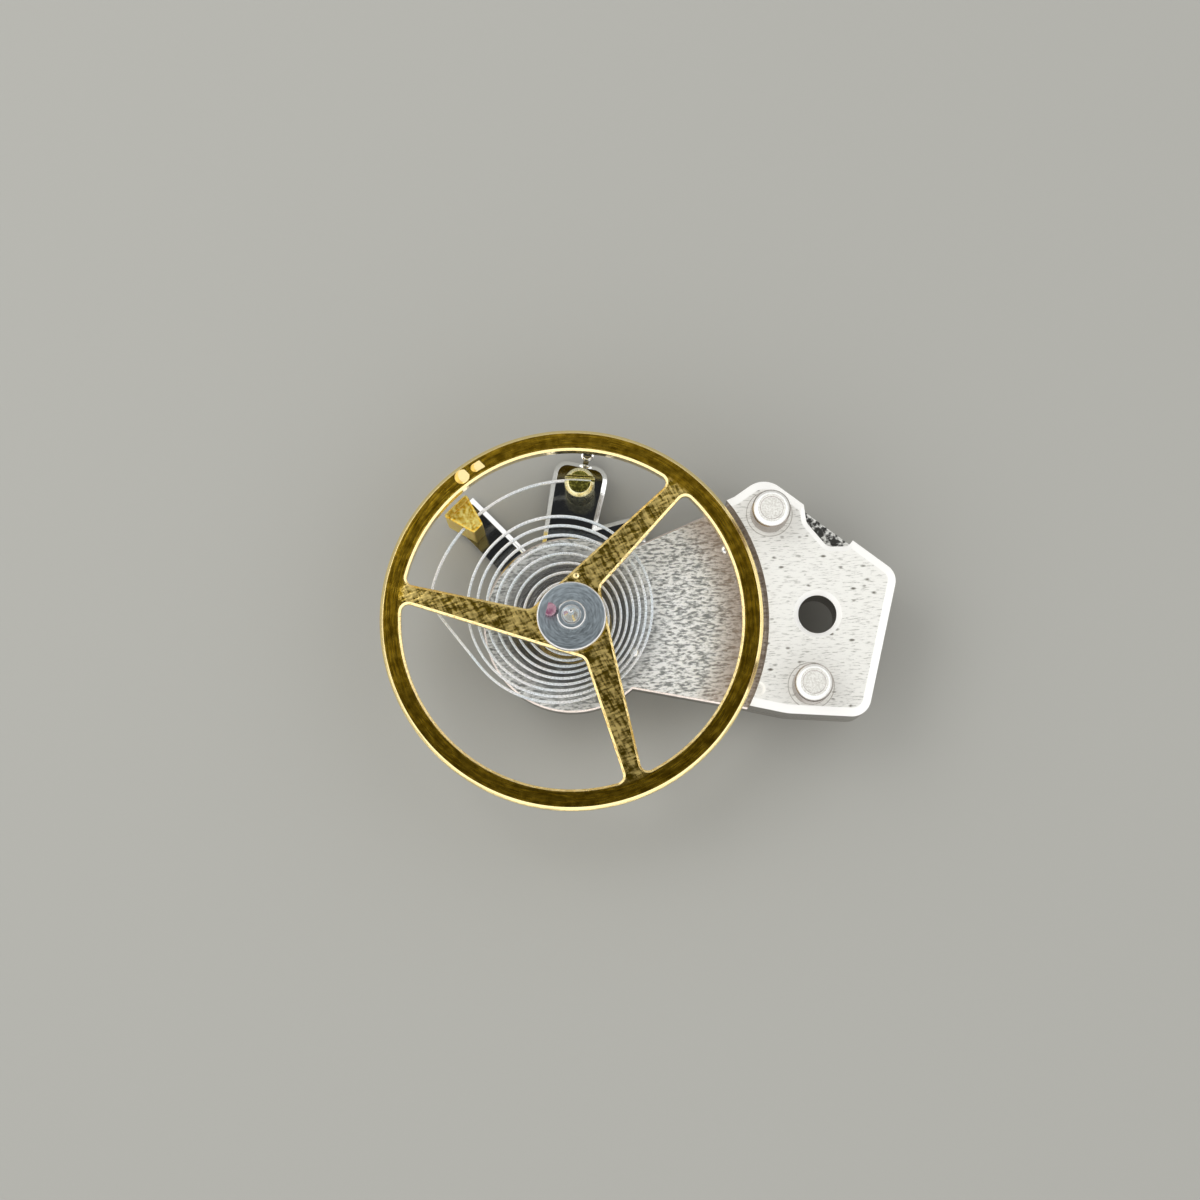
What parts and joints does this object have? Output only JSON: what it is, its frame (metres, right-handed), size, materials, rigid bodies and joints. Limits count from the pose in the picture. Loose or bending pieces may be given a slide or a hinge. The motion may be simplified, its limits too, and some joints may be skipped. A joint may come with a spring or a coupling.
{
  "type": "balance wheel",
  "caption": "Watch balance complete on its cock: gilt three-armed wheel, staff, double roller, flat hairspring, regulator, stud carrier and shock setting.",
  "frame": {"origin": "on the balance axis, at the root of the lower pivot", "axes": "+Z along the balance axis out of the lower pivot, towards the main plate; +X from the axis towards the foot of the cock"},
  "size_m": [0.0135, 0.01, 0.004],
  "materials": {
    "nickel": "nickel plate, satin",
    "pin_steel": "turned, bright",
    "gilt": "gilt, circular brushed",
    "key_gilt": "gilt, polished",
    "stud_brass": "turned brass",
    "staff_steel": "polished",
    "roller_steel": "polished",
    "dark_steel": "black polished, bright bevels",
    "spring_steel": "bright strip",
    "lyre_steel": "bright strip",
    "block_brass": "turned, gilt",
    "ruby": "polished ruby"
  },
  "bodies": {
    "cock": {"balance_cock": "nickel", "cock_pegs": "pin_steel", "steady_pin_upper": "pin_steel", "steady_pin_lower": "pin_steel", "shock_block": "block_brass"},
    "balance": {"balance_wheel": "gilt", "balance_staff": "staff_steel", "collet": "stud_brass", "roller_table": "roller_steel", "safety_roller": "roller_steel", "impulse_jewel": "ruby"},
    "stud_carrier": {"stud_carrier": "dark_steel", "hairspring": "spring_steel"},
    "stud": {"hairspring_stud": "stud_brass", "stud_pin": "stud_brass"},
    "regulator": {"regulator_index": "dark_steel"},
    "curb_key": {"curb_key": "key_gilt"},
    "setting": {"jewel_setting": "block_brass", "hole_jewel": "ruby", "cap_jewel": "ruby"},
    "lyre_spring": {"lyre_spring": "lyre_steel"}
  },
  "joints": [
    {"name": "balance_swing", "type": "hinge", "parent": "cock", "child": "balance", "pos_m": [0, 0, 0], "axis": [0, 0, 1], "range_deg": [-300, 300], "stiffness_Nm_per_rad": 0.0000006, "deforming": ["hairspring"]},
    {"name": "stud_carrier_turn", "type": "hinge", "parent": "cock", "child": "stud_carrier", "pos_m": [0, 0, -0.0032], "axis": [0, 0, 1], "range_deg": [-8, 8]},
    {"name": "regulator_turn", "type": "hinge", "parent": "cock", "child": "regulator", "pos_m": [0, 0, -0.00345], "axis": [0, 0, 1], "range_deg": [-10, 10]},
    {"name": "stud_turn", "type": "hinge", "parent": "stud_carrier", "child": "stud", "pos_m": [0.0002, 0.00373, -0.0032], "axis": [0, 0, 1], "range_deg": [-10, 10]},
    {"name": "curb_key_turn", "type": "hinge", "parent": "regulator", "child": "curb_key", "pos_m": [-0.00269, 0.00269, -0.00345], "axis": [0, 0, 1], "range_deg": [-8, 8]},
    {"name": "setting_lift", "type": "slide", "parent": "cock", "child": "setting", "axis": [0, 0, -1], "range_m": [0, 0.00005], "stiffness_N_per_m": 0.1, "springref_m": -0.0006},
    {"name": "lyre_spring_open", "type": "hinge", "parent": "cock", "child": "lyre_spring", "pos_m": [-0.00078, 0, -0.0031], "axis": [0, 1, 0], "range_deg": [0, 85]}
  ]
}
